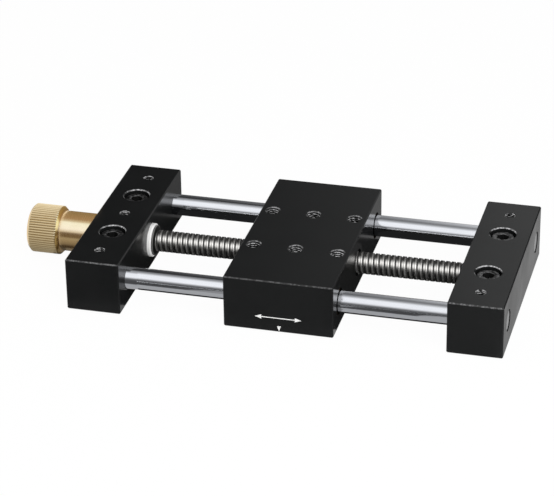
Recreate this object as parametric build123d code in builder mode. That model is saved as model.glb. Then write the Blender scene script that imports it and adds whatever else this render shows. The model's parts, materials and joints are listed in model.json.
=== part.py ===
from build123d import *
import math
import os

# A manual linear stage: two end blocks joined by two round guide rods, a carriage that
# slides on them, and a lead screw turned by a knurled knob.
# X runs along the travel from the knob to the far end, Y across, Z up.
# The origin is midway between the end blocks, on the plane that they stand on.
# All sizes are in millimetres.

# End blocks
block_length = 20.0
block_height = 20.0
stage_width = 80.0
shaft_height = 10.0
block_edge_break = 0.4

# Travel, and what it leaves at each end
travel = 75.0
run_out = 1.0
carriage_length = 40.0
knob_side_gap = 38.6

# Guide rods
rod_diameter = 8.0
rod_side_distance = 10.0
rod_end_setback = 0.3
rod_end_chamfer = 0.5
rod_seat_clearance = 0.02

# Lead screw
screw_diameter = 8.0
journal_diameter = 6.0
far_journal_length = 11.0
screw_far_gap = 0.3
screw_end_chamfer = 0.6
running_clearance = 0.05

# Bushes of the lead screw and the washers beside them
bush_diameter = 10.0
knob_end_bush_length = 18.0
bush_flange_diameter = 12.5
bush_flange_thickness = 1.4
bush_rim_chamfer = 0.3
far_end_bush_length = 12.0
far_bore_depth = 14.0
seat_clearance = 0.02
thrust_gap = 0.1
inner_washer_diameter = 11.2
inner_washer_thickness = 0.5
outer_washer_diameter = 12.5
outer_washer_thickness = 0.9

# Knob
knob_neck_diameter = 15.0
knob_neck_length = 13.0
knob_neck_chamfer = 0.5
knob_head_diameter = 18.2
knob_head_length = 12.0
knob_head_chamfer = 0.9
knob_tooth_count = 58
knob_tooth_depth = 0.4
knob_tooth_land = 0.2
knob_bore_clearance = 0.03
screw_end_inset = 1.0

# Carriage
carriage_height = 20.0
carriage_lift = 0.4
carriage_edge_break = 0.4
carriage_hole_diameter = 5.0
carriage_hole_depth = 12.0
carriage_hole_pitch = 15.5
carriage_hole_columns = 3
carriage_hole_row_spacing = 27.5
carriage_hole_chamfer = 0.35

# Guide bushes and the lead nut inside the carriage
guide_bush_diameter = 10.0
guide_bush_length = 12.0
guide_bush_recess = 0.8
nut_diameter = 10.2
nut_length = 30.0

# Socket head screws that fasten the end blocks to a base
mounting_hole_spacing = 30.0
mounting_hole_diameter = 5.5
counterbore_diameter = 9.5
counterbore_depth = 6.2
counterbore_chamfer = 0.35
mounting_screw_diameter = 5.0
mounting_screw_length = 12.0
mounting_head_diameter = 8.5
mounting_head_height = 5.0
mounting_socket_width = 4.0
mounting_socket_depth = 2.5

# Headless set screws
set_screw_diameter = 4.0
set_screw_thread_clearance = 0.05
set_screw_socket_width = 2.0
set_screw_socket_depth = 1.6
set_screw_tip_gap = 0.02
rod_clamp_length = 4.0
bush_lock_length = 3.0
nut_lock_length = 4.0
knob_set_length = 4.0

# Places along X, worked out from the sizes above
thrust_stack = bush_flange_thickness + thrust_gap + inner_washer_thickness
inner_gap = carriage_length + travel + thrust_stack + 2 * run_out
knob_block_inner_x = -inner_gap / 2
knob_block_outer_x = knob_block_inner_x - block_length
far_block_inner_x = inner_gap / 2
knob_block_x = knob_block_inner_x - block_length / 2
far_block_x = far_block_inner_x + block_length / 2
block_spacing = far_block_x - knob_block_x
carriage_start_x = knob_block_inner_x + knob_side_gap
carriage_x = carriage_start_x + carriage_length / 2
shoulder_x = knob_block_inner_x + thrust_stack
thread_end_x = far_block_inner_x - screw_far_gap
neck_end_x = knob_block_outer_x - thrust_gap - outer_washer_thickness
head_start_x = neck_end_x - knob_neck_length
head_end_x = head_start_x - knob_head_length
set_screw_x = (neck_end_x + head_start_x) / 2

# Heights, bores and the rods' places, worked out from the sizes above
counterbore_floor_z = block_height - counterbore_depth
carriage_top_z = carriage_lift + carriage_height
rod_spacing = stage_width - 2 * rod_side_distance
guide_bush_bore = rod_diameter + 2 * running_clearance
journal_bore = journal_diameter + 2 * running_clearance
shaft_axis = Axis((0, 0, shaft_height), (1, 0, 0))
rod_places = [(-rod_spacing / 2, shaft_height), (rod_spacing / 2, shaft_height)]


def turned(profile):
    # A closed profile of points (x, radius), turned about the lead screw's axis
    with BuildPart() as body:
        with BuildSketch(Plane.XZ):
            with BuildLine():
                Polyline([(x, shaft_height + radius) for x, radius in profile], close=True)
            make_face()
        revolve(axis=shaft_axis)
    return body.part


def ring(side_y, start_x, length, outer, inner):
    # A plain bush, nut or washer on the lead screw's axis or on a rod's
    with BuildPart() as body:
        with BuildSketch(Plane.YZ.offset(start_x)):
            with Locations((side_y, shaft_height)):
                Circle(outer / 2)
                Circle(inner / 2, mode=Mode.SUBTRACT)
        extrude(amount=length)
    return body.part


def socket_head_screw():
    # A socket head cap screw, with the underside of its head at z = 0
    head = mounting_head_diameter / 2
    shank = mounting_screw_diameter / 2
    with BuildPart() as screw:
        with BuildSketch(Plane.XY):
            Circle(head)
        extrude(amount=mounting_head_height)
        with BuildSketch(Plane.XY):
            Circle(shank)
        extrude(amount=-mounting_screw_length)
        with BuildSketch(Plane.XY.offset(mounting_head_height)):
            RegularPolygon(mounting_socket_width / 2, 6, major_radius=False)
        extrude(amount=-mounting_socket_depth, mode=Mode.SUBTRACT)
    return screw.part


def set_screw(length):
    # A headless socket screw that stands on its tip at z = 0
    with BuildPart() as screw:
        with BuildSketch(Plane.XY):
            Circle(set_screw_diameter / 2 - set_screw_thread_clearance)
        extrude(amount=length)
        with BuildSketch(Plane.XY.offset(length)):
            RegularPolygon(set_screw_socket_width / 2, 6, major_radius=False)
        extrude(amount=-set_screw_socket_depth, mode=Mode.SUBTRACT)
    return screw.part


def end_block(centre_x, extra_hole_rows):
    # A block with bores for both rods, two counterbored holes and the clamp screws' holes
    with BuildPart() as block:
        with BuildSketch(Plane((centre_x, 0, 0))):
            Rectangle(block_length, stage_width)
        extrude(amount=block_height)
        chamfer(block.edges(), block_edge_break)
        with BuildSketch(Plane.YZ.offset(centre_x - block_length / 2)):
            with Locations(rod_places):
                Circle(rod_diameter / 2 + rod_seat_clearance)
        extrude(amount=block_length, mode=Mode.SUBTRACT)
        with Locations((centre_x, 0, block_height)):
            with GridLocations(0, mounting_hole_spacing, 1, 2):
                CounterBoreHole(mounting_hole_diameter / 2, counterbore_diameter / 2, counterbore_depth)
            with Locations([(0, y) for y in (-rod_spacing / 2, rod_spacing / 2, *extra_hole_rows)]):
                Hole(set_screw_diameter / 2, depth=block_height - shaft_height)
        top_rings = block.edges().filter_by(GeomType.CIRCLE).group_by(Axis.Z)[-1]
        chamfer(top_rings.group_by(SortBy.RADIUS)[-1], counterbore_chamfer)
    return block.part


# The end blocks: only the one at the knob has a middle hole, for the screw that locks its bush
with BuildPart() as knob_end_block:
    add(end_block(knob_block_x, [0]))
    with BuildSketch(Plane.YZ.offset(knob_block_outer_x)):
        with Locations((0, shaft_height)):
            Circle(bush_diameter / 2)
    extrude(amount=block_length, mode=Mode.SUBTRACT)

with BuildPart() as far_end_block:
    add(end_block(far_block_x, []))
    with BuildSketch(Plane.YZ.offset(far_block_inner_x)):
        with Locations((0, shaft_height)):
            Circle(bush_diameter / 2)
    extrude(amount=far_bore_depth, mode=Mode.SUBTRACT)


def guide_rod(side_y):
    # A ground round rod that ends just inside the outer faces of the blocks
    rod_start_x = knob_block_outer_x + rod_end_setback
    with BuildPart() as rod:
        with BuildSketch(Plane.YZ.offset(rod_start_x)):
            with Locations((side_y, shaft_height)):
                Circle(rod_diameter / 2)
        extrude(amount=inner_gap + 2 * block_length - 2 * rod_end_setback)
        chamfer(rod.edges().filter_by(GeomType.CIRCLE), rod_end_chamfer)
    return rod.part


with BuildPart() as front_guide_rod:
    add(guide_rod(-rod_spacing / 2))

with BuildPart() as rear_guide_rod:
    add(guide_rod(rod_spacing / 2))


# The socket head screws, each with its head on its counterbore's floor
with BuildPart() as mounting_screws:
    with Locations((0, 0, counterbore_floor_z)):
        with GridLocations(block_spacing, mounting_hole_spacing, 2, 2):
            add(socket_head_screw())


def rod_clamp_pair(centre_x):
    # The set screws that clamp the rods in one block, each standing on its rod
    with BuildPart() as pair:
        with Locations((centre_x, 0, shaft_height + rod_diameter / 2 + set_screw_tip_gap)):
            with GridLocations(0, rod_spacing, 1, 2):
                add(set_screw(rod_clamp_length))
    return pair.part


with BuildPart() as knob_end_rod_clamp_screws:
    add(rod_clamp_pair(knob_block_x))

with BuildPart() as far_end_rod_clamp_screws:
    add(rod_clamp_pair(far_block_x))

# The lock screw of the bush at the knob
with BuildPart() as bush_lock_screw:
    with Locations((knob_block_x, 0, shaft_height + bush_diameter / 2 + set_screw_tip_gap)):
        add(set_screw(bush_lock_length))

# The flanged bush at the knob: the flange lies on the block's inner face
with BuildPart() as knob_end_bush:
    body_radius = bush_diameter / 2 - seat_clearance
    flange_radius = bush_flange_diameter / 2
    flange_x = knob_block_inner_x + bush_flange_thickness
    bush_start_x = knob_block_inner_x - knob_end_bush_length
    add(
        turned(
            [
                (bush_start_x, journal_bore / 2),
                (flange_x, journal_bore / 2),
                (flange_x, flange_radius - bush_rim_chamfer),
                (flange_x - bush_rim_chamfer, flange_radius),
                (knob_block_inner_x, flange_radius),
                (knob_block_inner_x, body_radius),
                (bush_start_x, body_radius),
            ]
        )
    )

# The plain bush in the far block's blind bore
with BuildPart() as far_end_bush:
    bush_size = bush_diameter - 2 * seat_clearance
    add(ring(0, far_block_inner_x, far_end_bush_length, bush_size, journal_bore))

# The lead screw: its thread's outside diameter between two turned-down journals
with BuildPart() as lead_screw:
    journal = journal_diameter / 2
    thread = screw_diameter / 2
    screw_start_x = head_end_x + screw_end_inset
    screw_end_x = far_block_inner_x + far_journal_length
    add(
        turned(
            [
                (screw_start_x, 0),
                (screw_start_x, journal - screw_end_chamfer),
                (screw_start_x + screw_end_chamfer, journal),
                (shoulder_x, journal),
                (shoulder_x, thread - screw_end_chamfer),
                (shoulder_x + screw_end_chamfer, thread),
                (thread_end_x - screw_end_chamfer, thread),
                (thread_end_x, thread - screw_end_chamfer),
                (thread_end_x, journal),
                (screw_end_x - screw_end_chamfer, journal),
                (screw_end_x, journal - screw_end_chamfer),
                (screw_end_x, 0),
            ]
        )
    )

# The washers that take the screw's thrust, one on each side of the block at the knob
with BuildPart() as inner_thrust_washer:
    washer_x = shoulder_x - inner_washer_thickness
    add(ring(0, washer_x, inner_washer_thickness, inner_washer_diameter, journal_bore))

with BuildPart() as outer_thrust_washer:
    add(ring(0, neck_end_x, outer_washer_thickness, outer_washer_diameter, journal_bore))

# The knob: a head with one flat land for each tooth of its straight knurl, and a plain neck
with BuildPart() as knob:
    neck = knob_neck_diameter / 2
    head = knob_head_diameter / 2
    bore = journal_diameter / 2 + knob_bore_clearance
    head_sections = [
        (head_end_x, head - knob_head_chamfer),
        (head_end_x + knob_head_chamfer, head),
        (head_start_x - knob_head_chamfer, head),
        (head_start_x, head - knob_head_chamfer),
    ]
    for x, radius in head_sections:
        with BuildSketch(Plane.YZ.offset(x)):
            with Locations((0, shaft_height)):
                RegularPolygon(radius, knob_tooth_count, major_radius=False)
    loft(ruled=True)
    groove_half_width = head * math.pi / knob_tooth_count * (1 - knob_tooth_land)
    with BuildSketch(Plane.YZ.offset(head_end_x)):
        with Locations((0, shaft_height)):
            with PolarLocations(head, knob_tooth_count):
                Polygon(
                    (-knob_tooth_depth, 0),
                    (knob_tooth_depth, -2 * groove_half_width),
                    (knob_tooth_depth, 2 * groove_half_width),
                    align=None,
                )
    extrude(amount=knob_head_length, mode=Mode.SUBTRACT)
    add(
        turned(
            [
                (head_start_x, 0),
                (head_start_x, neck),
                (neck_end_x - knob_neck_chamfer, neck),
                (neck_end_x, neck - knob_neck_chamfer),
                (neck_end_x, 0),
            ]
        )
    )
    with BuildSketch(Plane.YZ.offset(head_end_x)):
        with Locations((0, shaft_height)):
            Circle(bore)
    extrude(amount=knob_head_length + knob_neck_length, mode=Mode.SUBTRACT)
    with Locations(Location((set_screw_x, 0, shaft_height), (180, 0, 0))):
        Cylinder(
            set_screw_diameter / 2,
            head,
            align=(Align.CENTER, Align.CENTER, Align.MIN),
            mode=Mode.SUBTRACT,
        )

with BuildPart() as knob_set_screw:
    tip_radius = journal_diameter / 2 + set_screw_tip_gap
    with Locations(Location((set_screw_x, 0, shaft_height - tip_radius), (180, 0, 0))):
        add(set_screw(knob_set_length))

# The carriage: bores for the guide bushes and the nut, and tapped holes in its top
with BuildPart() as carriage_block:
    with BuildSketch(Plane((carriage_x, 0, carriage_lift))):
        Rectangle(carriage_length, stage_width)
    extrude(amount=carriage_height)
    chamfer(carriage_block.edges(), carriage_edge_break)
    with BuildSketch(Plane.YZ.offset(carriage_start_x)):
        with Locations(rod_places):
            Circle(guide_bush_diameter / 2)
        with Locations((0, shaft_height)):
            Circle(nut_diameter / 2)
    extrude(amount=carriage_length, mode=Mode.SUBTRACT)
    with Locations((carriage_x, 0, carriage_top_z)):
        with GridLocations(carriage_hole_pitch, carriage_hole_row_spacing, carriage_hole_columns, 2):
            Hole(carriage_hole_diameter / 2, depth=carriage_hole_depth)
    chamfer(
        carriage_block.edges().filter_by(GeomType.CIRCLE).group_by(Axis.Z)[-1],
        carriage_hole_chamfer,
    )
    with Locations(Location((carriage_x, 0, carriage_lift), (180, 0, 0))):
        Hole(set_screw_diameter / 2, depth=shaft_height - carriage_lift)


def guide_bush_pair(start_x):
    # The two sleeves at one end of the carriage, one on each rod
    sleeve_diameter = guide_bush_diameter - 2 * seat_clearance
    with BuildPart() as pair:
        for side_y in (-rod_spacing / 2, rod_spacing / 2):
            add(ring(side_y, start_x, guide_bush_length, sleeve_diameter, guide_bush_bore))
    return pair.part


with BuildPart() as knob_side_guide_bushes:
    add(guide_bush_pair(carriage_start_x + guide_bush_recess))

with BuildPart() as far_side_guide_bushes:
    add(guide_bush_pair(carriage_start_x + carriage_length - guide_bush_recess - guide_bush_length))

# The lead nut, locked in the middle of the carriage by a set screw from below
with BuildPart() as lead_nut:
    nut_size = nut_diameter - 2 * seat_clearance
    nut_bore = screw_diameter + 2 * running_clearance
    add(ring(0, carriage_x - nut_length / 2, nut_length, nut_size, nut_bore))

with BuildPart() as nut_lock_screw:
    nut_bottom_z = shaft_height - nut_diameter / 2
    with Locations(Location((carriage_x, 0, nut_bottom_z - set_screw_tip_gap), (180, 0, 0))):
        add(set_screw(nut_lock_length))

# Each piece is written under its own name
pieces = {
    "knob_end_block": knob_end_block,
    "far_end_block": far_end_block,
    "front_guide_rod": front_guide_rod,
    "rear_guide_rod": rear_guide_rod,
    "mounting_screws": mounting_screws,
    "knob_end_rod_clamp_screws": knob_end_rod_clamp_screws,
    "far_end_rod_clamp_screws": far_end_rod_clamp_screws,
    "bush_lock_screw": bush_lock_screw,
    "knob_end_bush": knob_end_bush,
    "far_end_bush": far_end_bush,
    "lead_screw": lead_screw,
    "inner_thrust_washer": inner_thrust_washer,
    "outer_thrust_washer": outer_thrust_washer,
    "knob": knob,
    "knob_set_screw": knob_set_screw,
    "carriage_block": carriage_block,
    "knob_side_guide_bushes": knob_side_guide_bushes,
    "far_side_guide_bushes": far_side_guide_bushes,
    "lead_nut": lead_nut,
    "nut_lock_screw": nut_lock_screw,
}
os.makedirs("parts", exist_ok=True)
for name, piece in pieces.items():
    piece.part.label = name
    export_step(piece.part, f"parts/{name}.step")
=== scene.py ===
import json
import math

import bmesh
import bpy
from mathutils import Matrix, Vector


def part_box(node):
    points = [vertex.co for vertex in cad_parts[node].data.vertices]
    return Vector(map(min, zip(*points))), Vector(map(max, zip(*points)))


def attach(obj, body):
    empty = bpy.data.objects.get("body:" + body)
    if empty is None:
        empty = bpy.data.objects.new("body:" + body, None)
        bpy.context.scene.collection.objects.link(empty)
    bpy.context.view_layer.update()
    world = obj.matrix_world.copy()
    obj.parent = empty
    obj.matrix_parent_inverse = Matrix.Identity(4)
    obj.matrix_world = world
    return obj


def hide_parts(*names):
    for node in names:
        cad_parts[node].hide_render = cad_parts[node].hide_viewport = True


# A hand-driven linear stage, dressed for its studio picture.
# Lengths are written in millimetres and turned into metres with mm, except that the
# tent, the floor and the lamps have theirs in metres.
mm = 0.001
fullTurn = 2 * math.pi

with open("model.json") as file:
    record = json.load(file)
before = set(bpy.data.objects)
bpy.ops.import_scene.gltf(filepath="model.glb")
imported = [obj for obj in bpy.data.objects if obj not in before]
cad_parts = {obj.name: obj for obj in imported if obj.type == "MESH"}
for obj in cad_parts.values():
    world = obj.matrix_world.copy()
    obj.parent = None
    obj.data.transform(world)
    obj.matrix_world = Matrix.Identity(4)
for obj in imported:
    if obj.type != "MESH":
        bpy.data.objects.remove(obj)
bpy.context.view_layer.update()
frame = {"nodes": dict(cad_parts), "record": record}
nodes = frame["nodes"]
print("stage: frame loaded,", len(nodes), "nodes")


def middle(name):
    low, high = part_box(name)
    return (low + high) / 2


screwAxis = middle("lead_screw")
screwLead = fullTurn / abs(frame["record"]["behaviour"]["couplings"][0]["ratio"])
carriageLow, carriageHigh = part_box("carriage_block")
carriageMiddle = middle("carriage_block")
rodYs = [middle("front_guide_rod").y, middle("rear_guide_rod").y]
blockXs = {"knob": middle("knob_end_block").x, "far": middle("far_end_block").x}
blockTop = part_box("knob_end_block")[1].z
mounts = {mount["name"]: mount["dims"] for mount in frame["record"]["mounts"]}


def objectFrom(name, mesh, *materials):
    # turns a bmesh into a named object of the scene
    data = bpy.data.meshes.new(name)
    mesh.to_mesh(data)
    mesh.free()
    for material in materials:
        data.materials.append(material)
    made = bpy.data.objects.new(name, data)
    bpy.context.scene.collection.objects.link(made)
    return made


def finishPiece(name, mesh, slot, body, *materials):
    # a piece of the stage that rides on a body
    bmesh.ops.recalc_face_normals(mesh, faces=mesh.faces)
    piece = objectFrom(name, mesh, *materials)
    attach(piece, body)
    return piece


def smoothByAngle(mesh, degrees):
    # smooth shading, with a sharp edge wherever two faces meet at more than this
    limit = math.radians(degrees)
    for face in mesh.faces:
        face.smooth = True
    for edge in mesh.edges:
        edge.smooth = len(edge.link_faces) == 2 and edge.calc_face_angle(math.pi) < limit


def bridge(mesh, first, second, closed=True):
    # quads between two rows of vertices of the same length
    count = len(first)
    for i in range(count if closed else count - 1):
        j = (i + 1) % count
        mesh.faces.new((first[i], first[j], second[j], second[i]))


def threadRows(mesh, place, points, lead, turns, steps, wall=0, fadeSteps=0):
    # carries a profile of (along, radius) points up a right-hand helix about +X, which
    # place moves to where the thread belongs; over fadeSteps it sinks into its wall at both ends
    leastFade = 0.02
    last = round(turns * steps)
    rows = []
    for step in range(last + 1):
        angle = fullTurn * step / steps
        fade = 1
        if fadeSteps:
            fade = max(leastFade, min(1, step / fadeSteps, (last - step) / fadeSteps))
        row = []
        for along, radius in points:
            reach = wall + (radius - wall) * fade
            corner = (lead * step / steps + along, reach * math.cos(angle), reach * math.sin(angle))
            row.append(mesh.verts.new(place @ Vector(corner)))
        rows.append(row)
    return rows


def lathe(mesh, place, profile, segments):
    # turns a list of (along, radius) points about +X, with a cap at each end
    rows = []
    for along, radius in profile:
        rows.append([
            mesh.verts.new(place @ Vector((
                along,
                radius * math.cos(fullTurn * i / segments),
                radius * math.sin(fullTurn * i / segments),
            )))
            for i in range(segments)
        ])
    for first, second in zip(rows, rows[1:]):
        bridge(mesh, first, second)
    mesh.faces.new(rows[0])
    mesh.faces.new(rows[-1])


mixFirst, mixSecond, mixResult = 6, 7, 2    # the colour sockets of a Mix node


def addNode(tree, kind, inputs=None, **settings):
    made = tree.nodes.new(kind)
    for key, value in settings.items():
        setattr(made, key, value)
    for key, value in (inputs or {}).items():
        if isinstance(value, bpy.types.NodeSocket):
            tree.links.new(value, made.inputs[key])
        else:
            made.inputs[key].default_value = value
    return made


def newFinish(name, look):
    # a Principled finish whose even values sit on the shader's own sockets
    finish = bpy.data.materials.new(name)
    finish.use_nodes = True
    shader = finish.node_tree.nodes["Principled BSDF"]
    shader.inputs["Base Color"].default_value = (*look["colour"], 1)
    shader.inputs["Metallic"].default_value = look["metallic"]
    shader.inputs["Roughness"].default_value = look["roughness"]
    shader.inputs["Specular IOR Level"].default_value = look.get("specular", 0.5)
    return finish, finish.node_tree, shader


def drive(shader, socket, value):
    # gives a shader's socket a value that varies over the surface
    shader.id_data.links.new(value, shader.inputs[socket])


def compute(tree, operation, *values):
    return addNode(tree, "ShaderNodeMath", dict(enumerate(values)), operation=operation).outputs[0]


def times(tree, first, *others):
    for other in others:
        first = compute(tree, "MULTIPLY", first, other)
    return first


def coordinates(tree, vector):
    return addNode(tree, "ShaderNodeSeparateXYZ", {0: vector}).outputs


def objectPoint(tree, stretch=(1, 1, 1), start=(0, 0, 0)):
    spot = addNode(tree, "ShaderNodeTexCoord").outputs["Object"]
    inputs = {"Vector": spot, "Location": start, "Scale": stretch}
    return addNode(tree, "ShaderNodeMapping", inputs).outputs["Vector"]


def radiusFrom(tree, axisPoint):
    # distance of a point from a line along X
    point = objectPoint(tree, stretch=(0, 1, 1), start=(0, -axisPoint.y, -axisPoint.z))
    return addNode(tree, "ShaderNodeVectorMath", {0: point}, operation="LENGTH").outputs["Value"]


def noise(tree, point, perMetre, detail):
    inputs = {"Vector": point, "Scale": perMetre, "Detail": detail}
    return addNode(tree, "ShaderNodeTexNoise", inputs).outputs["Fac"]


def spread(tree, value, fromLow, fromHigh, toLow, toHigh):
    inputs = {"Value": value, "From Min": fromLow, "From Max": fromHigh, "To Min": toLow, "To Max": toHigh}
    return addNode(tree, "ShaderNodeMapRange", inputs).outputs["Result"]


def above(tree, value, start, fade):
    # 0 up to the start, and 1 from a fade beyond it
    return spread(tree, value, start, start + fade, 0, 1)


def below(tree, value, start, fade):
    # 1 up to the start, and 0 from a fade beyond it
    return spread(tree, value, start, start + fade, 1, 0)


def band(tree, value, low, high, fade):
    # 0 outside low and high, and 1 from a fade inside them
    return times(tree, above(tree, value, low, fade), below(tree, value, high - fade, fade))


def blendColour(tree, value, first, second):
    ramp = addNode(tree, "ShaderNodeValToRGB", {"Fac": value})
    ramp.color_ramp.elements[0].color = (*first, 1)
    ramp.color_ramp.elements[1].color = (*second, 1)
    return ramp.outputs["Color"]


def mixColour(tree, share, first, second, **settings):
    if not isinstance(second, bpy.types.NodeSocket):
        second = (*second, 1)
    inputs = {"Factor": share, mixFirst: first, mixSecond: second}
    return addNode(tree, "ShaderNodeMix", inputs, data_type="RGBA", **settings).outputs[mixResult]


def bump(tree, shader, height, strength, depth):
    inputs = {"Height": height, "Strength": strength, "Distance": depth}
    drive(shader, "Normal", addNode(tree, "ShaderNodeBump", inputs).outputs["Normal"])


def grainBump(tree, shader, look):
    perMetre, detail, strength, depth = look["grain"]
    bump(tree, shader, noise(tree, objectPoint(tree), perMetre, detail), strength, depth)


# A look's cloud says how many patches there are to the metre and how finely they break up.
# Its grain says the same of a bump, and then how strong and how deep the bump is.
noiseSpan = (0.3, 0.7)         # the levels that noise mostly keeps between
hairFade = 0.05 * mm           # widths over which one tint gives way to the next
shortFade = 0.1 * mm


def cloudyFinish(name, look):
    # soft patches of two tints, and of two roughnesses where the look has them
    finish, tree, shader = newFinish(name, look)
    cloud = noise(tree, objectPoint(tree), *look["cloud"])
    patch = spread(tree, cloud, *look["patchSpan"], 0, 1) if "patchSpan" in look else cloud
    drive(shader, "Base Color", blendColour(tree, patch, *look["tints"]))
    if "roughRange" in look:
        drive(shader, "Roughness", spread(tree, cloud, *noiseSpan, *look["roughRange"]))
    if "grain" in look:
        grainBump(tree, shader, look)
    return finish


anodised = {
    "colour": (0.0075, 0.0080, 0.0082), "metallic": 0.0, "roughness": 0.33, "specular": 0.19,
    "cloud": (60, 3),
    "tints": ((0.0064, 0.0069, 0.0071), (0.0088, 0.0092, 0.0094)),
    "roughRange": (0.29, 0.37),
    "grain": (5200, 2, 0.22, 0.04 * mm),
    "chamferZ": (0.50, 0.90, 0.10),      # how far a chamfer's normal leans up: from, to and fade
    "roundTo": 0.62,           # leaning further than this along the stage, it stays black
    "roundFade": 0.08,
    "rimFrom": 19.2 * mm,      # only the chamfers round the top and the mouths of its holes are bare
    "frontEdge": -39.2 * mm,   # the long front edges keep most of their black
    "frontShare": 0.25,
    "wear": (1100, 3),
    "wearSpan": (0.42, 0.62),
    "leastWear": 0.2,
    "bareRim": (0.56, 0.56, 0.57),
    "oilyRim": (0.32, 0.32, 0.325),
    "rimMetallic": 0.8,
    "edgeX": (0.55, 0.85, 0.07),         # how far a dull edge's normal leans towards the far end
    "edgeZ": 0.50,             # and how far up at least
    "edgeFade": 0.10,
    "endLean": 0.95,           # the lean along the stage from where a face is sealed
    "endFade": 0.04,
    "sealRoughness": 0.16,
}


def anodisedBlack(name, rimColour, endSeal=0, dullEdge=False):
    # black all over, except on the chamfers of the holes, cut through it to the metal;
    # endSeal is how glossy the seal is on the faces that look along the stage,
    # and a dull edge is the long chamfer towards the far end, fully rough
    a = anodised
    finish, tree, shader = newFinish(name, a)
    cloud = noise(tree, objectPoint(tree), *a["cloud"])
    tint = blendColour(tree, cloud, *a["tints"])
    lean = coordinates(tree, addNode(tree, "ShaderNodeTexCoord").outputs["Normal"])
    place = coordinates(tree, objectPoint(tree))
    sideways = compute(tree, "ABSOLUTE", lean["X"])
    rim = times(
        tree,
        band(tree, lean["Z"], *a["chamferZ"]),
        below(tree, sideways, a["roundTo"], a["roundFade"]),
        above(tree, place["Z"], a["rimFrom"], shortFade),
        spread(tree, place["Y"], a["frontEdge"] - shortFade, a["frontEdge"], a["frontShare"], 1))
    worn = spread(tree, noise(tree, objectPoint(tree), *a["wear"]), *a["wearSpan"], a["leastWear"], 1)
    wear = times(tree, rim, worn)
    drive(shader, "Base Color", mixColour(tree, wear, tint, rimColour))
    drive(shader, "Metallic", times(tree, wear, a["rimMetallic"]))
    rough = spread(tree, cloud, *noiseSpan, *a["roughRange"])
    if dullEdge:
        edge = times(
            tree,
            band(tree, lean["X"], *a["edgeX"]),
            above(tree, lean["Z"], a["edgeZ"], a["edgeFade"]))
        rough = compute(tree, "MAXIMUM", rough, edge)
    drive(shader, "Roughness", rough)
    grainBump(tree, shader, a)
    if endSeal:
        atEnd = above(tree, sideways, a["endLean"], a["endFade"])
        drive(shader, "Coat Weight", times(tree, atEnd, endSeal))
        shader.inputs["Coat Roughness"].default_value = a["sealRoughness"]
    return finish


# threads cut after the anodising: bare metal, bright here and oily there
tapped = {
    "colour": (0.50, 0.50, 0.51), "metallic": 0.8, "roughness": 0.30,
    "cloud": (900, 2),
    "patchSpan": (0.42, 0.58),
    "tints": ((0.06, 0.06, 0.06), (0.74, 0.74, 0.75)),
    "roughRange": (0.42, 0.24),
    "grain": (6000, 2, 0.2, 0.04 * mm),
}


chromed = {
    "colour": (0.78, 0.80, 0.84), "metallic": 1.0, "roughness": 0.11,
    "streak": (1100, 4),
    "streakStretch": (0.02, 1, 1),
    "streakBump": (0.22, 0.06 * mm),
    "cloud": (260, 3),
    "cloudStretch": (0.2, 1, 1),
    "tints": ((0.70, 0.72, 0.77), (0.84, 0.86, 0.90)),
    "roughRange": (0.09, 0.17),
    "sawnEnd": (0.42, 0.42, 0.425),
    "sawnRoughness": 0.35,     # more than the rest
    "endFrom": 78.8 * mm,      # from the middle of the stage
}


def chromedRod():
    # ground and chromed lengthwise, and only sawn off and faced at its ends
    c = chromed
    finish, tree, shader = newFinish("chromedRod", c)
    streak = noise(tree, objectPoint(tree, stretch=c["streakStretch"]), *c["streak"])
    cloud = noise(tree, objectPoint(tree, stretch=c["cloudStretch"]), *c["cloud"])
    fromMiddle = compute(tree, "ABSOLUTE", coordinates(tree, objectPoint(tree))["X"])
    atEnd = above(tree, fromMiddle, c["endFrom"], shortFade)
    tint = blendColour(tree, cloud, *c["tints"])
    drive(shader, "Base Color", mixColour(tree, atEnd, tint, c["sawnEnd"]))
    polish = spread(tree, streak, *noiseSpan, *c["roughRange"])
    drive(shader, "Roughness", compute(tree, "ADD", polish, times(tree, atEnd, c["sawnRoughness"])))
    bump(tree, shader, streak, *c["streakBump"])
    return finish


rolled = {
    "colour": (0.70, 0.685, 0.66), "metallic": 1.0, "roughness": 0.18,
    "journal": 3.05 * mm,      # radii: the turned-down ends stay inside this one
    "groove": 3.80 * mm,
    "crest": 3.95 * mm,
    "tints": ((0.035, 0.035, 0.034), (0.60, 0.59, 0.572)),     # in the grooves, near black as a painted shade, and on the crests
    "roughRange": (0.60, 0.16),
    "rim": (0.72, 0.94, 0.03),           # across the thread, in shares of its lead: from, to and fade
    "rimColour": (0.95, 0.935, 0.91),
    "rimMetallic": 0.95,
    "rimRoughness": 0.20,      # more than the rest of the crest
    "scratch": (1500, 3),
    "scratchStretch": (1, 0.35, 0.35),
    "scratchBump": (0.8, 0.1 * mm),
}


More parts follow.
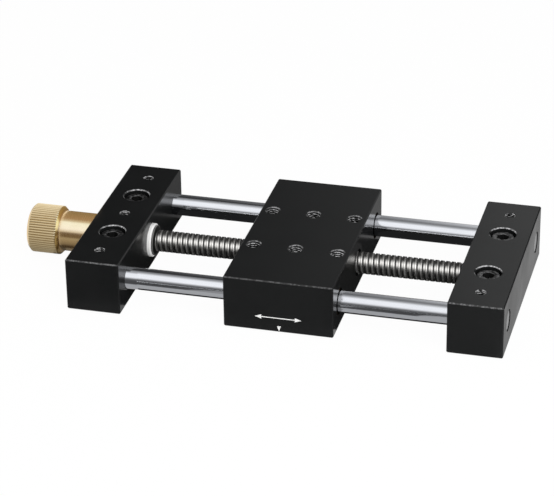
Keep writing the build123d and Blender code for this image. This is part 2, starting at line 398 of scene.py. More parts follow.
def rolledSteel():
    # the crests are burnished, with a paler rim that the rolling left rough;
    # the grooves between them are dull and painted dark, as shade
    r = rolled
    finish, tree, shader = newFinish("rolledSteel", r)
    radius = radiusFrom(tree, screwAxis)
    outer = spread(tree, radius, r["groove"], r["crest"], 0, 1)
    bright = compute(tree, "MAXIMUM", outer, below(tree, radius, r["journal"], hairFade))
    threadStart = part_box("inner_thrust_washer")[1].x
    point = coordinates(tree, objectPoint(tree, start=(-threadStart, -screwAxis.y, -screwAxis.z)))
    turn = times(tree, compute(tree, "ARCTAN2", point["Z"], point["Y"]), -1 / fullTurn)
    across = compute(tree, "FRACT", compute(tree, "MULTIPLY_ADD", point["X"], 1 / screwLead, turn))
    rim = times(tree, band(tree, across, *r["rim"]), outer)
    # near black from the crests down into the grooves: a painted shade
    tint = blendColour(tree, bright, *r["tints"])
    drive(shader, "Base Color", mixColour(tree, rim, tint, r["rimColour"]))
    drive(shader, "Metallic", times(tree, bright, spread(tree, rim, 0, 1, 1, r["rimMetallic"])))
    polish = spread(tree, bright, 0, 1, *r["roughRange"])
    drive(shader, "Roughness", compute(tree, "ADD", polish, times(tree, rim, r["rimRoughness"])))
    scratch = noise(tree, objectPoint(tree, stretch=r["scratchStretch"]), *r["scratch"])
    bump(tree, shader, scratch, *r["scratchBump"])
    return finish


turned = {
    "colour": (0.86, 0.68, 0.40), "metallic": 1.0, "roughness": 0.22,
    "marksPerMetre": 7000,
    "marksDetail": 2,
    "markBump": (0.2, 0.03 * mm),
    "roughRange": (0.17, 0.28),
    "cloud": (220, 4),
    "freshTints": ((0.87, 0.62, 0.33), (0.94, 0.70, 0.41)),
    "wornTints": ((0.80, 0.63, 0.37), (0.92, 0.78, 0.52)),
    "knurlFrom": 8.70 * mm,    # radii
    "toothRoot": 8.80 * mm,
    "toothTop": 9.08 * mm,
    "chamferFrom": 8.15 * mm,
    "headMiddle": 6.0 * mm,    # from the knob's outer end
    "toothReach": 5.1 * mm,    # to either side of that, up to the chamfers
    # the roots of the teeth, darkened as a painted shade
    "rootShadeColour": (0.42, 0.31, 0.16),
    "chamferColour": (0.90, 0.62, 0.24),
}


def turnedBrass():
    # fine tool marks run round the neck and the end faces, inside the knurl's radius;
    # the knurl is paler from handling, with painted shade in the roots of its teeth, and the chamfer at the
    # neck is yellow
    t = turned
    finish, tree, shader = newFinish("turnedBrass", t)
    along = coordinates(tree, objectPoint(tree))["X"]
    radius = radiusFrom(tree, screwAxis)
    marks = addNode(
        tree, "ShaderNodeTexNoise",
        {"W": compute(tree, "ADD", along, radius), "Scale": t["marksPerMetre"], "Detail": t["marksDetail"]},
        noise_dimensions="1D").outputs["Fac"]
    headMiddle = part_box("knob")[0].x + t["headMiddle"]
    aside = compute(tree, "ABSOLUTE", coordinates(tree, objectPoint(tree, start=(-headMiddle, 0, 0)))["X"])
    atChamfer = above(tree, aside, t["toothReach"], shortFade)
    cloud = noise(tree, objectPoint(tree), *t["cloud"])
    # painted shade, deepest at the roots of the teeth, and none on the chamfers
    root = times(
        tree,
        spread(tree, radius, t["toothRoot"], t["toothTop"], 1, 0),
        below(tree, atChamfer, 0, 1))
    worn = mixColour(tree, root, blendColour(tree, cloud, *t["wornTints"]), t["rootShadeColour"])
    plain = below(tree, radius, t["knurlFrom"], hairFade)
    brass = mixColour(tree, plain, worn, blendColour(tree, cloud, *t["freshTints"]))
    warm = times(
        tree, atChamfer,
        above(tree, radius, t["chamferFrom"], hairFade),
        above(tree, along, headMiddle, shortFade))
    drive(shader, "Base Color", mixColour(tree, warm, brass, t["chamferColour"]))
    drive(shader, "Roughness", spread(tree, marks, *noiseSpan, *t["roughRange"]))
    bump(tree, shader, times(tree, marks, plain), *t["markBump"])
    return finish


acetal = {
    "colour": (0.90, 0.90, 0.89), "metallic": 0.0, "roughness": 0.38,
    "cloud": (400, 3),
    "tints": ((0.88, 0.88, 0.87), (0.93, 0.93, 0.92)),
    "roughRange": (0.34, 0.44),
    "grain": (3000, 2, 0.08, 0.03 * mm),
}


greyWasherShade = {
    "colour": (0.17, 0.17, 0.165), "metallic": 0.0, "roughness": 0.30,
    "cloud": (700, 3),
    "tints": ((0.10, 0.10, 0.098), (0.26, 0.26, 0.25)),
    "black": (0.012, 0.012, 0.011),
    "rim": 5.4 * mm,           # radius inside which its face is black, a painted shade
    "seam": 0.15 * mm,         # width of the black line against the bush, a painted shadow
    "seamFade": 0.045 * mm,
}


def greyAcetalPaintedShade():
    # the thrust washer against the screw, grey, with its face painted black as shade and a painted shadow
    # line in its seam against the bush
    g = greyWasherShade
    finish, tree, shader = newFinish("greyAcetalPaintedShade", g)
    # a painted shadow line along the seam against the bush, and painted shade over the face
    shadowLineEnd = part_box("inner_thrust_washer")[0].x + g["seam"]
    seam = below(tree, coordinates(tree, objectPoint(tree))["X"], shadowLineEnd, g["seamFade"])
    face = below(tree, radiusFrom(tree, screwAxis), g["rim"], hairFade)
    greyTone = blendColour(tree, noise(tree, objectPoint(tree), *g["cloud"]), *g["tints"])
    drive(shader, "Base Color", mixColour(tree, compute(tree, "MAXIMUM", seam, face), greyTone, g["black"]))
    return finish


oxide = {
    "colour": (0.14, 0.14, 0.138), "metallic": 1.0, "roughness": 0.38,
    "cloud": (900, 3),
    "patchSpan": (0.38, 0.66),
    "tints": ((0.045, 0.045, 0.046), (0.24, 0.24, 0.243)),
    "roughRange": (0.32, 0.46),
    "grain": (5000, 2, 0.15, 0.03 * mm),
}
# the inside of the sockets: near black and nearly without gloss, a painted shade
socketShadeLook = {
    "colour": (0.004, 0.004, 0.004), "metallic": 0.0, "roughness": 0.5, "specular": 0.03,
    "cloud": (2500, 3),
    "tints": ((0.001, 0.001, 0.001), (0.007, 0.007, 0.007)),
}
sintered = {
    "colour": (0.30, 0.18, 0.08), "metallic": 1.0, "roughness": 0.5,
    "cloud": (6000, 2),        # its pores
    "tints": ((0.14, 0.08, 0.04), (0.36, 0.22, 0.10)),
    "roughRange": (0.60, 0.42),
    "grain": (6000, 2, 0.3, 0.04 * mm),
}
ink = {
    "colour": (0.78, 0.78, 0.77), "metallic": 0.0, "roughness": 0.55, "specular": 0.3,
    "cloud": (2500, 2),
    "tints": ((0.70, 0.70, 0.69), (0.84, 0.84, 0.83)),
}

finishes = {
    "black_anodised_aluminium": anodisedBlack("anodisedBlack", anodised["bareRim"], dullEdge=True),
    "polished_rod": chromedRod(),
    "stainless_screw": rolledSteel(),
    "brass": turnedBrass(),
    "bronze": cloudyFinish("sinteredBronze", sintered),
    "black_oxide_steel": cloudyFinish("blackOxide", oxide),
    "white_plastic": cloudyFinish("whiteAcetal", acetal),
}
whitePrint = cloudyFinish("printedWhite", ink)
bareThread = cloudyFinish("tappedThread", tapped)
paintedSocketShade = cloudyFinish("paintedSocketShade", socketShadeLook)
ownFinishes = {
    "inner_thrust_washer": greyAcetalPaintedShade(),
    "carriage_block": anodisedBlack("sealedBlack", anodised["oilyRim"], endSeal=1.0),
    "knob_end_block": anodisedBlack("sealedBlock", anodised["bareRim"], endSeal=0.4),
}

for part in frame["record"]["subparts"]:
    for slot in nodes[part["node"]].material_slots:
        slot.material = ownFinishes.get(part["node"], finishes[part["material_slot"]])
print("stage: finishes made and given to the nodes")


leadThread = {
    "lead": screwLead,
    "outside": 4.0 * mm,       # radius over the crests
    "root": 3.64 * mm,
    "crestWidth": 1.40 * mm,
    "flankWidth": 0.13 * mm,
    "cornerRound": 0.08 * mm,
    "seamPlace": 0.64,         # rolling leaves a fine seam along the crest, this far across it
    "seamWidth": 0.22 * mm,
    "seamDepth": 0.14 * mm,
    "endChamfer": 0.6 * mm,
    "farGap": 0.3 * mm,
    "journal": 3.0 * mm,       # radius of the turned-down ends
    "overlap": 0.4 * mm,
    "steps": 56,
    "spareTurns": 2,           # made at each end and cut off again
    "smooth": 28,              # degrees, up to which a bend is shaded smooth
}


def leadScrewProfile():
    t = leadThread
    crestStart = t["lead"] - t["crestWidth"] - t["flankWidth"]
    crestEnd = crestStart + t["crestWidth"]
    seam = crestStart + t["seamPlace"] * t["crestWidth"]
    return [
        (0, t["root"]),
        (crestStart - t["flankWidth"], t["root"]),
        (crestStart - t["cornerRound"] / 3, t["outside"] - t["cornerRound"]),
        (crestStart + t["cornerRound"], t["outside"]),
        (seam - t["seamWidth"] / 2, t["outside"]),
        (seam, t["outside"] - t["seamDepth"]),
        (seam + t["seamWidth"] / 2, t["outside"]),
        (crestEnd - t["cornerRound"], t["outside"]),
        (crestEnd + t["cornerRound"] / 3, t["outside"] - t["cornerRound"]),
    ]


def buildLeadScrew():
    t = leadThread
    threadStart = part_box("inner_thrust_washer")[1].x
    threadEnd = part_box("far_end_block")[0].x - t["farGap"]
    low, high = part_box("lead_screw")
    spare = t["spareTurns"] * t["lead"]
    turns = (threadEnd - threadStart + 2 * spare) / t["lead"]
    start = Matrix.Translation((threadStart - spare, screwAxis.y, screwAxis.z))
    mesh = bmesh.new()
    rows = threadRows(mesh, start, leadScrewProfile(), t["lead"], turns, t["steps"])
    for first, second in zip(rows, rows[1:]):
        bridge(mesh, first, second, closed=False)
    # the last point of a row runs on into the first point of the row one turn later
    for i in range(len(rows) - t["steps"] - 1):
        j = i + t["steps"]
        mesh.faces.new((rows[i][-1], rows[i + 1][-1], rows[j + 1][0], rows[j][0]))
    for cut, side in ((threadStart, -1), (threadEnd, 1)):
        everything = list(mesh.verts) + list(mesh.edges) + list(mesh.faces)
        bmesh.ops.bisect_plane(
            mesh, geom=everything, plane_co=(cut, 0, 0), plane_no=(side, 0, 0), clear_outer=True)
    for vert in mesh.verts:    # the chamfer at both ends of the thread
        fromEnd = min(vert.co.x - threadStart, threadEnd - vert.co.x)
        radial = Vector((0, vert.co.y - screwAxis.y, vert.co.z - screwAxis.z))
        most = t["outside"] - t["endChamfer"] + max(fromEnd, 0)
        if radial.length > most:
            vert.co.y = screwAxis.y + radial.y * most / radial.length
            vert.co.z = screwAxis.z + radial.z * most / radial.length
    bmesh.ops.holes_fill(mesh, edges=[edge for edge in mesh.edges if edge.is_boundary], sides=0)
    axis = Matrix.Translation((0, screwAxis.y, screwAxis.z))
    journal, chamfer = t["journal"], t["endChamfer"]
    lathe(mesh, axis, [
        (low.x, journal - chamfer),
        (low.x + chamfer, journal),
        (threadStart + t["overlap"], journal),
    ], t["steps"])
    lathe(mesh, axis, [
        (threadEnd - t["overlap"], journal),
        (high.x - chamfer, journal),
        (high.x, journal - chamfer),
    ], t["steps"])
    smoothByAngle(mesh, t["smooth"])
    piece = finishPiece("leadScrewThread", mesh, "stainless_screw", "screw", finishes["stainless_screw"])
    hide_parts("lead_screw")


buildLeadScrew()
print("stage: lead screw threaded")


brassKnob = {
    "teeth": 58,
    "toothPoints": ((-0.5, 1), (-0.08, 0), (0.08, 0)),   # across one tooth, and how deep it is cut there
    "toothDepth": 0.32 * mm,
    "head": 9.1 * mm,          # radius
    "headLength": 12.0 * mm,
    "headChamfer": 0.9 * mm,
    "chamferRows": (0, 0.60, 0.74, 0.87, 1),
    "neck": 7.5 * mm,
    "neckChamfer": 0.5 * mm,
    "cornerRound": 0.2 * mm,
    "bore": 3.03 * mm,
    "boreChamfer": 0.3 * mm,
    "hole": 2.0 * mm,          # radius of the set screw's hole
    "holeSides": 48,
    "drillFrom": 1.0 * mm,     # below the knob
    "smooth": 28,
}


def drillKnob(piece, x, bottom):
    # the set screw's hole comes up from below
    k = brassKnob
    mesh = bmesh.new()
    up = Matrix.Translation((x, screwAxis.y, bottom)) @ Matrix.Rotation(-math.pi / 2, 4, "Y")
    lathe(mesh, up, [(-k["drillFrom"], k["hole"]), (screwAxis.z - bottom, k["hole"])], k["holeSides"])
    bmesh.ops.recalc_face_normals(mesh, faces=mesh.faces)
    drill = objectFrom("drill", mesh)
    cut = piece.modifiers.new("hole", "BOOLEAN")
    cut.operation = "DIFFERENCE"
    cut.solver = "EXACT"
    cut.object = drill
    depsgraph = bpy.context.evaluated_depsgraph_get()
    piece.data = bpy.data.meshes.new_from_object(piece.evaluated_get(depsgraph))
    piece.modifiers.clear()
    bpy.data.objects.remove(drill)


def smoothPiece(piece, degrees):
    mesh = bmesh.new()
    mesh.from_mesh(piece.data)
    smoothByAngle(mesh, degrees)
    mesh.to_mesh(piece.data)
    mesh.free()


def buildKnob():
    k = brassKnob
    low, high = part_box("knob")
    headEnd = low.x + k["headLength"]
    edge = k["head"] - k["headChamfer"]
    rise = [k["headChamfer"] * share for share in k["chamferRows"]]
    rows = [(low.x + k["boreChamfer"], k["bore"]), (low.x, k["bore"] + k["boreChamfer"])]
    rows += [(low.x + deep, edge + deep) for deep in rise]
    rows += [(headEnd - deep, edge + deep) for deep in reversed(rise)]
    rows += [(headEnd, k["neck"] + k["cornerRound"]), (headEnd + k["cornerRound"], k["neck"])]
    rows += [(high.x - k["neckChamfer"], k["neck"]), (high.x, k["neck"] - k["neckChamfer"])]
    rows += [(high.x, k["bore"] + k["boreChamfer"]), (high.x - k["boreChamfer"], k["bore"])]
    mesh = bmesh.new()
    rings = []
    for x, radius in rows:
        ring = []
        for tooth in range(k["teeth"]):
            for across, cut in k["toothPoints"]:
                angle = fullTurn * (tooth + across) / k["teeth"]
                reach = min(radius, k["head"] - k["toothDepth"] * cut)
                ring.append(mesh.verts.new((
                    x, screwAxis.y + reach * math.cos(angle), screwAxis.z + reach * math.sin(angle))))
        rings.append(ring)
    for first, second in zip(rings, rings[1:] + rings[:1]):
        bridge(mesh, first, second)
    piece = finishPiece("knurledKnob", mesh, "brass", "screw", finishes["brass"])
    drillKnob(piece, middle("knob_set_screw").x, low.z)
    smoothPiece(piece, k["smooth"])
    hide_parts("knob")


buildKnob()
print("stage: knob knurled")


cornerHoles = mounts["carriage_corner_holes"]
plateHole = {
    "radius": cornerHoles["hole_r_mm"] * mm,
    "crest": 2.08 * mm,
    "pitch": 0.8 * mm,
    "firstTurn": 0.35 * mm,    # below the mouth's chamfer
    "depth": 11.0 * mm,
    "columns": [share * cornerHoles["spacing_x_mm"] * mm for share in (-0.5, 0, 0.5)],
    "rows": [share * cornerHoles["spacing_y_mm"] * mm for share in (-0.5, 0.5)],
}
clampHole = {
    "radius": 2.0 * mm,
    "crest": 1.63 * mm,
    "pitch": 0.7 * mm,
    "firstTurn": 0.2 * mm,
    "depth": 2.5 * mm,         # past the top of the set screw
    "lip": [                   # a burr left by the tap: depth and radius
        (0.03 * mm, 2.03 * mm), (0.16 * mm, 1.80 * mm), (0.34 * mm, 1.76 * mm), (0.46 * mm, 2.03 * mm)],
}
ridge = {
    "steps": 36,
    "fadeTurns": 0.35,
    "sunk": 0.03 * mm,         # into the wall
    "crestShare": 0.10,        # of the pitch
    "baseShare": 0.58,
    "smooth": 35,
}


def addLip(mesh, mouth, lip):
    rings = []
    for deep, radius in lip:
        rings.append([
            mesh.verts.new(mouth + Vector((
                radius * math.cos(fullTurn * i / ridge["steps"]),
                radius * math.sin(fullTurn * i / ridge["steps"]),
                -deep,
            )))
            for i in range(ridge["steps"])
        ])
    for first, second in zip(rings, rings[1:] + rings[:1]):
        bridge(mesh, first, second)


def holeThread(mesh, mouth, hole):
    # a V ridge on the wall of a hole that runs down from its mouth
    steps, pitch = ridge["steps"], hole["pitch"]
    base, crest = ridge["baseShare"] * pitch, ridge["crestShare"] * pitch
    wall = hole["radius"] + ridge["sunk"]
    profile = [
        (0, wall),
        (base / 2 - crest / 2, hole["crest"]),
        (base / 2 + crest / 2, hole["crest"]),
        (base, wall),
    ]
    turns = (hole["depth"] - hole["firstTurn"] - base) / pitch
    down = Matrix.Translation(mouth - Vector((0, 0, hole["firstTurn"])))
    down = down @ Matrix.Rotation(math.pi / 2, 4, "Y") @ Matrix.Rotation(math.pi, 4, "X")
    fadeSteps = ridge["fadeTurns"] * steps
    rows = threadRows(mesh, down, profile, pitch, turns, steps, wall, fadeSteps)
    for first, second in zip(rows, rows[1:]):
        bridge(mesh, first, second)
    mesh.faces.new(rows[0])
    mesh.faces.new(rows[-1])
    if "lip" in hole:
        addLip(mesh, mouth, hole["lip"])


def buildHoleThreads(name, mouths, hole, body):
    mesh = bmesh.new()
    for mouth in mouths:
        holeThread(mesh, Vector(mouth), hole)
    smoothByAngle(mesh, ridge["smooth"])
    finishPiece(name, mesh, "black_anodised_aluminium", body, bareThread)


buildHoleThreads(
    "carriageHoleThreads",
    [(carriageMiddle.x + x, y, carriageHigh.z) for x in plateHole["columns"] for y in plateHole["rows"]],
    plateHole, "carriage")
buildHoleThreads(
    "knobBlockHoleThreads",
    [(blockXs["knob"], y, blockTop) for y in (*rodYs, screwAxis.y)],
    clampHole, "frame")
buildHoleThreads(
    "farBlockHoleThreads",
    [(blockXs["far"], y, blockTop) for y in rodYs],
    clampHole, "frame")
print("stage: hole threads cut")


capScrew = {
    "shank": 2.5 * mm,         # radius
    "tipShare": 0.8,           # of the shank's radius
    "tipLength": 0.5 * mm,
    "head": 4.25 * mm,         # radius
    "headHeight": 5.0 * mm,
    "seatBreak": 0.1 * mm,
    "gripDepth": 0.07 * mm,    # straight grip round the head
    "gripFrom": 0.5 * mm,
    "rimRound": 0.45 * mm,
    "rimPoints": 4,
    "socket": 2.0 * mm,        # half its width across flats
    "socketDepth": 2.5 * mm,
    "socketLip": 0.15 * mm,
    "coneDepth": 0.6 * mm,     # of the socket's floor
    "coneTip": 0.1 * mm,
    "segments": 96,
    "yShift": mounts["base_screw_holes"]["spacing_y_mm"] / 2 * mm,
    "smooth": 30,
}


def hexReach(angle, halfWidth):
    # how far a hexagon's side lies from its middle in this direction
    side = fullTurn / 6
    return halfWidth / math.cos((angle + side / 2) % side - side / 2)


def capScrewRows(shankLength):
    # heights over the head's seat, radii and shapes, from the shank's tip to the socket's floor
    s = capScrew
    top, rimRound = s["headHeight"], s["rimRound"]
    rows = [
        (-shankLength, s["tipShare"] * s["shank"], "round"),
        (-shankLength + s["tipLength"], s["shank"], "round"),
        (0, s["shank"], "round"),
        (0, s["head"] - s["seatBreak"], "round"),
        (s["seatBreak"], s["head"], "round"),
        (s["gripFrom"], s["head"], "grip"),
        (top - rimRound - s["gripFrom"] / 4, s["head"], "grip"),
    ]
    for i in range(s["rimPoints"] + 1):
        turn = math.pi / 2 * i / s["rimPoints"]
        inset = rimRound * (1 - math.cos(turn))
        rows.append((top - rimRound * (1 - math.sin(turn)), s["head"] - inset, "round"))
    return rows + [
        (top, s["socket"] + s["socketLip"], "hex"),
        (top - s["socketLip"], s["socket"], "hex"),
        (top - s["socketDepth"], s["socket"], "hex"),
        (top - s["socketDepth"] - s["coneDepth"], s["coneTip"], "round"),
    ]


def capScrewAt(mesh, x, y, headBottom, shankLength):
    s = capScrew
    rings = []
    for z, radius, shape in capScrewRows(shankLength):
        ring = []
        for i in range(s["segments"]):
            angle = fullTurn * i / s["segments"]
            reach = radius
            if shape == "hex":
                reach = hexReach(angle, radius)
            elif shape == "grip" and i % 2:
                reach = radius - s["gripDepth"]
            corner = (x + reach * math.cos(angle), y + reach * math.sin(angle), headBottom + z)
            ring.append(mesh.verts.new(corner))
        rings.append(ring)
    for first, second in zip(rings, rings[1:]):
        bridge(mesh, first, second)
    mesh.faces.new(rings[0])
    mesh.faces.new(rings[-1])
    mesh.faces.ensure_lookup_table()
    for face in mesh.faces[-1 - 2 * s["segments"]:]:
        face.material_index = 1    # the socket's walls and floor, painted near black as shade


def buildCapScrews():
    mesh = bmesh.new()
    low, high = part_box("mounting_screws")
    headBottom = high.z - capScrew["headHeight"]
    for x in blockXs.values():
        for y in (-capScrew["yShift"], capScrew["yShift"]):
            capScrewAt(mesh, x, y, headBottom, headBottom - low.z)
    smoothByAngle(mesh, capScrew["smooth"])
    looks = (finishes["black_oxide_steel"], paintedSocketShade)
    piece = finishPiece("capScrews", mesh, "black_oxide_steel", "frame", *looks)
    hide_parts("mounting_screws")


buildCapScrews()
print("stage: socket head screws made")


marks = {
    "proud": 0.008 * mm,
    "sunk": 0.1 * mm,
    "pointerShift": 0.3 * mm,
    "pointerWidth": 1.5 * mm,
    "pointerHeight": 2.0 * mm,
    "pointerLift": 0.4 * mm,
    "arrowLength": 17.0 * mm,
    "arrowHeight": 5.6 * mm,   # above the carriage's lower edge
    "arrowLine": 0.35 * mm,
    "headLength": 2.4 * mm,
    "headWidth": 1.7 * mm,
}


def printedShape(mesh, corners):
    # a flat outline of (x, z) points, a hair proud of the carriage's front face
    face = carriageLow.y
    front = [mesh.verts.new((x, face - marks["proud"], z)) for x, z in corners]
    back = [mesh.verts.new((x, face + marks["sunk"], z)) for x, z in corners]
    bridge(mesh, front, back)
    mesh.faces.new(front)
    mesh.faces.new(back)


def buildMarks():
    m = marks
    mesh = bmesh.new()
    point, wide = carriageMiddle.x + m["pointerShift"], m["pointerWidth"] / 2
    tip = carriageLow.z + m["pointerLift"]
    over = tip + m["pointerHeight"]
    printedShape(mesh, [(point, tip), (point + wide, over), (point - wide, over)])
    x, z = carriageMiddle.x, carriageLow.z + m["arrowHeight"]
    half, line, head = m["arrowLength"] / 2, m["arrowLine"] / 2, m["headWidth"] / 2
    neck = half - m["headLength"]
    printedShape(mesh, [
        (x - half, z),
        (x - neck, z - head), (x - neck, z - line), (x + neck, z - line), (x + neck, z - head),
        (x + half, z),
        (x + neck, z + head), (x + neck, z + line), (x - neck, z + line), (x - neck, z + head)])
    finishPiece("printedMarks", mesh, "white_plastic", "carriage", whitePrint)


buildMarks()
print("stage: marks printed")


def addStage(name, mesh, material):
    piece = objectFrom(name, mesh, material)
    return piece


def onlyInReflections(piece):
    # a studio card that shiny surfaces show, and that neither the camera nor the shadows do
    piece.visible_camera = False
    piece.visible_diffuse = False
    piece.visible_transmission = False
    piece.visible_shadow = False


def backgroundRays(tree):
    # 1 for rays that show the background: from the camera, or by way of metal or glass
    rays = addNode(tree, "ShaderNodeLightPath").outputs
    seen = compute(tree, "MAXIMUM", rays["Is Camera Ray"], rays["Is Glossy Ray"])
    return compute(tree, "MAXIMUM", seen, rays["Is Transmission Ray"])


def emptyTree(owner):
    owner.use_nodes = True
    owner.node_tree.nodes.clear()
    return owner.node_tree


floorLook = {"size": 4.0, "colour": (0.92, 0.92, 0.92), "lift": 0.97}


def buildFloor():
    material = bpy.data.materials.new("paperFloor")
    tree = emptyTree(material)
    paper = addNode(tree, "ShaderNodeBsdfDiffuse", {"Color": (*floorLook["colour"], 1)})
    glow = addNode(tree, "ShaderNodeEmission", {"Color": (1, 1, 1, 1), "Strength": 1.0})
    share = times(tree, backgroundRays(tree), floorLook["lift"])
    mix = addNode(tree, "ShaderNodeMixShader", {"Fac": share, 1: paper.outputs[0], 2: glow.outputs[0]})
    addNode(tree, "ShaderNodeOutputMaterial", {"Surface": mix.outputs[0]})
    mesh = bmesh.new()
    bmesh.ops.create_grid(mesh, x_segments=1, y_segments=1, size=floorLook["size"])
    addStage("floor", mesh, material)


def glowing(name, level, oneSided=False):
    # a material that only glows, as bright as level says, and is clear from behind where one-sided
    material = bpy.data.materials.new(name)
    tree = emptyTree(material)
    surface = addNode(tree, "ShaderNodeEmission", {"Color": level(tree), "Strength": 1.0}).outputs[0]
    if oneSided:
        behind = addNode(tree, "ShaderNodeNewGeometry").outputs["Backfacing"]
        clear = addNode(tree, "ShaderNodeBsdfTransparent").outputs[0]
        surface = addNode(tree, "ShaderNodeMixShader", {"Fac": behind, 1: surface, 2: clear}).outputs[0]
    addNode(tree, "ShaderNodeOutputMaterial", {"Surface": surface})
    return material


def rampLevel(tree, share, stops, span):
    # a level or colour between stops, where share runs from 0 to 1 over the span
    ramp = addNode(tree, "ShaderNodeValToRGB", {"Fac": share})
    elements = ramp.color_ramp.elements
    low, high = span
    for i, (place, level) in enumerate(stops):
        stop = elements[i] if i < 2 else elements.new(1)
        stop.position = (place - low) / (high - low)
        stop.color = (*level, 1) if isinstance(level, tuple) else (level, level, level, 1)
    return ramp.outputs["Color"]


def levelAround(tree, y, z, stops):
    # a level by the angle about a line along X, from the front up over the top to the back
    point = coordinates(tree, objectPoint(tree, stretch=(1, -1, 1), start=(0, y, -z)))
    angle = compute(tree, "ARCTAN2", point["Z"], point["Y"])
    return rampLevel(tree, spread(tree, angle, -math.pi / 2, math.pi, 0, 1), stops, (-90, 180))


tent = {
    "radius": 1.6,
    "subdivisions": 4,
    "openBelow": -0.08,        # a little under the floor
    "sideFrom": 0.9,           # metres to either side, from where a side panel is bright
    "sideFade": 0.2,
    "sideLevel": 0.85,
    "stops": [                 # angle up from the front in degrees, and how bright it is there
        (0, 0.08), (12, 0.13), (22, 0.32), (30, 0.80), (40, 1.08), (72, 1.08),
        (84, 0.75), (95, 0.42), (108, 0.25), (125, 0.10), (180, 0.05)],
}


def tentLevel(tree):
    level = levelAround(tree, 0, 0, tent["stops"])
    aside = compute(tree, "ABSOLUTE", coordinates(tree, objectPoint(tree))["X"])
    side = times(tree, above(tree, aside, tent["sideFrom"], tent["sideFade"]), tent["sideLevel"])
    return mixColour(tree, 1.0, level, side, blend_type="LIGHTEN")


def buildTent():
    # the studio round the stage, as its metal shows it: a bright panel in front and above
    mesh = bmesh.new()
    bmesh.ops.create_icosphere(mesh, subdivisions=tent["subdivisions"], radius=tent["radius"])
    underFloor = [vert for vert in mesh.verts if vert.co.z < tent["openBelow"]]
    bmesh.ops.delete(mesh, geom=underFloor, context="VERTS")
    onlyInReflections(addStage("studioTent", mesh, glowing("tentGlow", tentLevel)))


backCard = {
    "y": 300 * mm,
    "span": (-400, 400),       # x in mm
    "height": 700 * mm,
    "stops": [                 # x in mm, and how bright it is there
        (-400, 0.04), (-160, 0.04), (-110, 0.12), (-40, 0.27), (60, 0.88), (140, 0.90), (190, 0.05)],
}


def backCardLevel(tree):
    low, high = backCard["span"]
    share = spread(tree, coordinates(tree, objectPoint(tree))["X"], low * mm, high * mm, 0, 1)
    return rampLevel(tree, share, backCard["stops"], backCard["span"])


def buildBackCard():
    # a card close behind, paler to the right, that brightens the tops from left to right
    low, high = [x * mm for x in backCard["span"]]
    corners = [(low, 0), (high, 0), (high, backCard["height"]), (low, backCard["height"])]
    mesh = bmesh.new()
    mesh.faces.new([mesh.verts.new((x, backCard["y"], z)) for x, z in corners])
    onlyInReflections(addStage("backCard", mesh, glowing("backCardGlow", backCardLevel)))


floorCards = {
    "height": 0.05 * mm,
    "patches": [               # from x, to x, from y, to y in mm, and how bright it looks
        (-900, -112, -900, 300, 0.85),
        (-112, -97, -900, 300, 0.34),
        (-97, -93, -900, 300, 0.08),
        (-93, -82, -900, 300, 0.18),
        (-82, 77, -900, -110, 0.07),
        (-82, -40, -110, -47, 0.07),
        (-40, 15, -110, -47, 0.29),
        (15, 45, -110, -47, 0.07),
        (45, 77, -110, -47, 0.42),
        (-82, 77, -47, -33, 0.42),
        (-82, 77, -33, 38, 0.015),
        (-82, 77, 38, 300, 0.17),
        (77, 400, -300, 300, 0.72)],
}


def floorCardLevel(tree):
    return addNode(tree, "ShaderNodeAttribute", attribute_name="level").outputs["Fac"]


def buildFloorCards():
    # cards on the floor under the stage, as the undersides of its metal show them
    mesh = bmesh.new()
    levels = []
    for fromX, toX, fromY, toY, level in floorCards["patches"]:
        corners = [(fromX, fromY), (toX, fromY), (toX, toY), (fromX, toY)]
        mesh.faces.new([mesh.verts.new((x * mm, y * mm, floorCards["height"])) for x, y in corners])
        levels.append(level)
    piece = addStage("floorCards", mesh, glowing("floorCardGlow", floorCardLevel))
    piece.data.attributes.new("level", "FLOAT", "FACE").data.foreach_set("value", levels)
    onlyInReflections(piece)


# Parts of tubes that glow inwards, each close round its own piece and clear from outside:
# from x to x in mm, from angle to angle in degrees, from the front up over the top,
# and the levels or colours at such angles.
neckStops = [
    (-2, (0.38, 0.37, 0.32)), (3, (0.15, 0.12, 0.08)), (19, (0.15, 0.12, 0.09)), (24, (0.66, 0.70, 0.78)),
    (30, (0.86, 1.00, 1.28)), (36, (1.04, 1.26, 1.70)), (62, (1.00, 1.26, 1.60)), (69, (0.62, 0.64, 0.62)),
    (80, (0.38, 0.30, 0.22)), (120, (0.30, 0.25, 0.16)), (180, (0.25, 0.19, 0.11))]
hoods = {
    "screwHood": {
        "radius": 7 * mm, "span": (-57.5, 59.5), "angles": (-60, 192),
        "stops": [
            (-90, 0.008), (-6, 0.012), (2, 0.04), (10, 0.10), (17, 0.22), (25, 0.55), (32, 1.02),
            (40, 1.38), (49, 1.50), (56, 1.25), (64, 0.76), (72, 0.37), (81, 0.12), (92, 0.04), (180, 0.04)],
    },
    "neckHood": {
        "radius": 12 * mm, "span": (-94.5, -87.5), "angles": (-60, 172),
        "stops": [
            (-90, (0.04, 0.03, 0.02)), (-42, (0.05, 0.04, 0.03)), (-32, (0.20, 0.18, 0.15)),
            (-15, (0.32, 0.30, 0.25))] + neckStops,
    },
    "neckHoodRight": {
        "radius": 12 * mm, "span": (-87.5, -79.6), "angles": (-60, 172),
        "stops": [
            (-90, (0.03, 0.02, 0.01)), (-14, (0.03, 0.02, 0.01)), (-8, (0.30, 0.28, 0.25))] + neckStops,
    },
    "headHood": {
        "radius": 14 * mm, "span": (-110, -94.5), "angles": (-90, 250),
        "stops": [
            (-90, (0.20, 0.19, 0.17)), (-30, (0.36, 0.35, 0.32)), (20, (0.62, 0.60, 0.56)),
            (60, (0.86, 0.85, 0.82)), (125, (1.08, 1.09, 1.09)), (160, (0.76, 0.78, 0.80)),
            (180, (0.60, 0.62, 0.65))],
    },
}
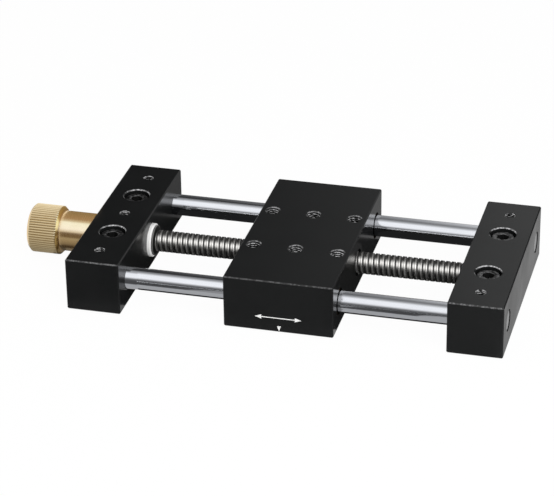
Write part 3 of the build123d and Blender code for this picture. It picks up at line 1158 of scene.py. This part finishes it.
rodHood = {
    # where a rod leaves the knob's block, so that the rod shines right up to it
    "radius": 4.6 * mm, "span": (-59.4, -55.0),
    "stops": [
        (-90, 0.42), (-14, 0.42), (-7, 0.07), (12, 0.08), (19, 0.13), (25, 0.32), (29, 0.80), (35, 1.05),
        (53, 1.03), (60, 0.60), (67, 0.30)],
}
hoods["frontRodHood"] = {**rodHood, "y": rodYs[0], "angles": (-85, 66)}
hoods["rearRodHood"] = {**rodHood, "y": rodYs[1], "angles": (12, 66)}
hoodSteps = 16


def buildHood(name, hood):
    axisY = hood.get("y", screwAxis.y)
    low, high = hood["angles"]
    angles = [math.radians(low + (high - low) * i / hoodSteps) for i in range(hoodSteps + 1)]
    mesh = bmesh.new()
    rows = [[
        mesh.verts.new((
            x * mm,
            axisY - hood["radius"] * math.cos(angle),
            screwAxis.z + hood["radius"] * math.sin(angle),
        ))
        for angle in angles
    ] for x in hood["span"]]
    bridge(mesh, *rows, closed=False)

    def level(tree):
        return levelAround(tree, axisY, screwAxis.z, hood["stops"])

    onlyInReflections(addStage(name, mesh, glowing(name + "Glow", level, oneSided=True)))


lamps = {
    "overhead": {"place": (-0.05, -0.20, 1.15), "size": (1.3, 0.9), "power": 3.8},
    "frontRight": {"place": (0.42, -0.52, 0.42), "size": (0.5, 0.5), "power": 5.0},
}


def buildLamps():
    for name, lamp in lamps.items():
        data = bpy.data.lights.new(name, "AREA")
        data.shape = "RECTANGLE"
        data.size, data.size_y = lamp["size"]
        data.energy = lamp["power"]
        piece = bpy.data.objects.new(name, data)
        piece.location = lamp["place"]
        piece.rotation_euler = (-Vector(lamp["place"])).to_track_quat("-Z", "Y").to_euler()
        piece.visible_glossy = False    # the cards are what the metal shows
        bpy.context.scene.collection.objects.link(piece)


room = {"strength": 0.42, "background": 1.0}


def buildWorld():
    world = bpy.data.worlds.new("room")
    bpy.context.scene.world = world
    tree = emptyTree(world)
    light, white = [
        addNode(tree, "ShaderNodeBackground", {"Color": (1, 1, 1, 1), "Strength": strength}).outputs[0]
        for strength in (room["strength"], room["background"])]
    mix = addNode(tree, "ShaderNodeMixShader", {"Fac": backgroundRays(tree), 1: light, 2: white})
    addNode(tree, "ShaderNodeOutputWorld", {"Surface": mix.outputs[0]})


cameraFacts = {
    "place": (196.3 * mm, -788.7 * mm, 442.9 * mm),
    "turn": 14.755,            # degrees to the left of straight back
    "tilt": 27.835,            # degrees down
    "roll": -0.802,
    "lens": 163.6,
    "sensor": 36.0,
    "clip": (0.01, 20),        # metres
}


def buildCamera():
    data = bpy.data.cameras.new("camera")
    data.lens = cameraFacts["lens"]
    data.sensor_width = cameraFacts["sensor"]
    data.sensor_fit = "HORIZONTAL"
    data.clip_start, data.clip_end = cameraFacts["clip"]
    piece = bpy.data.objects.new("camera", data)
    turn = Matrix.Rotation(math.radians(cameraFacts["turn"]), 4, "Z")
    tilt = Matrix.Rotation(math.radians(90 - cameraFacts["tilt"]), 4, "X")
    roll = Matrix.Rotation(math.radians(cameraFacts["roll"]), 4, "Z")
    piece.matrix_world = Matrix.Translation(cameraFacts["place"]) @ turn @ tilt @ roll
    bpy.context.scene.collection.objects.link(piece)
    bpy.context.scene.camera = piece


buildFloor()
buildTent()
buildBackCard()
buildFloorCards()
for name, hood in hoods.items():
    buildHood(name, hood)
buildLamps()
buildWorld()
buildCamera()
bpy.context.scene.view_settings.view_transform = "Standard"
print("stage: floor, studio and camera set")
